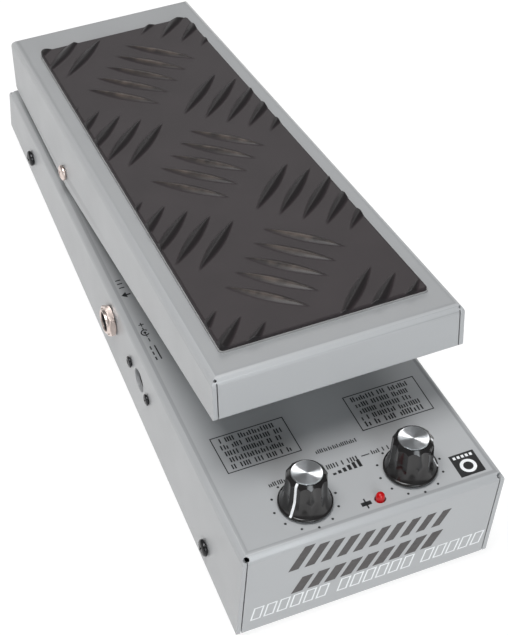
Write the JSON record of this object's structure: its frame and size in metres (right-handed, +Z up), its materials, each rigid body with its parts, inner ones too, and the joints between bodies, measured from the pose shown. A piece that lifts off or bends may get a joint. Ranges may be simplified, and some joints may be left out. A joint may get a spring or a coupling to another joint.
{
  "type": "volume pedal",
  "caption": "Wedge-shaped steel foot pedal with a rocking treadle and ribbed rubber mat, level knobs, jack sockets on the sides and an indicator light.",
  "frame": {"origin": "on the floor, under the middle of the pedal's outer box", "axes": "+Z up, +Y towards the heel end, -Y towards the toe end with the knobs, +X to the side of the output jack"},
  "size_m": [0.0922, 0.2444, 0.09],
  "materials": {
    "grey_paint": "satin grey stoved paint",
    "plated_steel": "zinc-plated sheet steel",
    "black_screw": "black oxide",
    "black_rubber": "plain matt rubber",
    "mat_rubber": "moulded rubber with a raised five-bar tread, slightly sheened",
    "nickel": "bright nickel plate",
    "magnet_metal": "nickel-plated magnet",
    "red_lens": "clear red, glossy",
    "circuit_board": "solder-masked laminate",
    "black_plastic": "moulded black plastic",
    "battery_case": "plain printed can",
    "nylon": "natural nylon",
    "knob_plastic": "glossy black moulding",
    "knob_aluminium": "spun face"
  },
  "bodies": {
    "base": {"chassis": "grey_paint", "bottom_plate": "plated_steel", "pivot_bracket": "plated_steel", "side_screw_left_toe": "black_screw", "side_screw_left_heel": "black_screw", "rubber_foot_left_toe": "black_rubber", "rubber_foot_left_heel": "black_rubber", "foot_screw_left_toe": "nickel", "foot_screw_left_heel": "nickel", "pivot_screw_left": "nickel", "pivot_nut_left": "nickel", "bracket_screw_left": "nickel", "toe_bumper_left": "black_rubber", "heel_bumper_left": "black_rubber", "potentiometer_left": "nickel", "pot_nut_left": "nickel", "standoff_left_toe": "nickel", "standoff_left_heel": "nickel", "side_screw_right_toe": "black_screw", "side_screw_right_heel": "black_screw", "rubber_foot_right_toe": "black_rubber", "rubber_foot_right_heel": "black_rubber", "foot_screw_right_toe": "nickel", "foot_screw_right_heel": "nickel", "pivot_screw_right": "nickel", "pivot_nut_right": "nickel", "bracket_screw_right": "nickel", "toe_bumper_right": "black_rubber", "heel_bumper_right": "black_rubber", "potentiometer_right": "nickel", "pot_nut_right": "nickel", "standoff_right_toe": "nickel", "standoff_right_heel": "nickel", "indicator_light": "red_lens", "control_board": "circuit_board", "input_jack": "nickel", "input_jack_nut": "nickel", "output_jack": "nickel", "output_jack_nut": "nickel", "power_socket": "black_plastic", "power_screw_toe": "black_screw", "power_screw_heel": "black_screw", "main_board": "circuit_board", "sensor_board": "circuit_board", "sensor_bracket": "plated_steel", "battery": "battery_case", "battery_snap": "black_plastic", "battery_clip": "plated_steel"},
    "rocker": {"treadle": "grey_paint", "tread_mat": "mat_rubber", "magnet_arm": "plated_steel", "magnet": "magnet_metal", "pivot_bush_left": "nylon", "pivot_bush_right": "nylon"},
    "knob_left": {"knob_left": "knob_plastic", "knob_cap_left": "knob_aluminium", "pot_shaft_left": "nylon"},
    "knob_right": {"knob_right": "knob_plastic", "knob_cap_right": "knob_aluminium", "pot_shaft_right": "nylon"}
  },
  "joints": [
    {"name": "treadle_rock", "type": "hinge", "parent": "base", "child": "rocker", "pos_m": [0, 0.05811, 0.03733], "axis": [1, 0, 0], "range_deg": [0, 10]},
    {"name": "knob_left_turn", "type": "hinge", "parent": "base", "child": "knob_left", "pos_m": [-0.0182, -0.10861, 0.04408], "axis": [0, 0.0961, 0.9954], "range_deg": [-93, 207]},
    {"name": "knob_right_turn", "type": "hinge", "parent": "base", "child": "knob_right", "pos_m": [0.0182, -0.10861, 0.04408], "axis": [0, 0.0961, 0.9954], "range_deg": [-215, 85]}
  ]
}
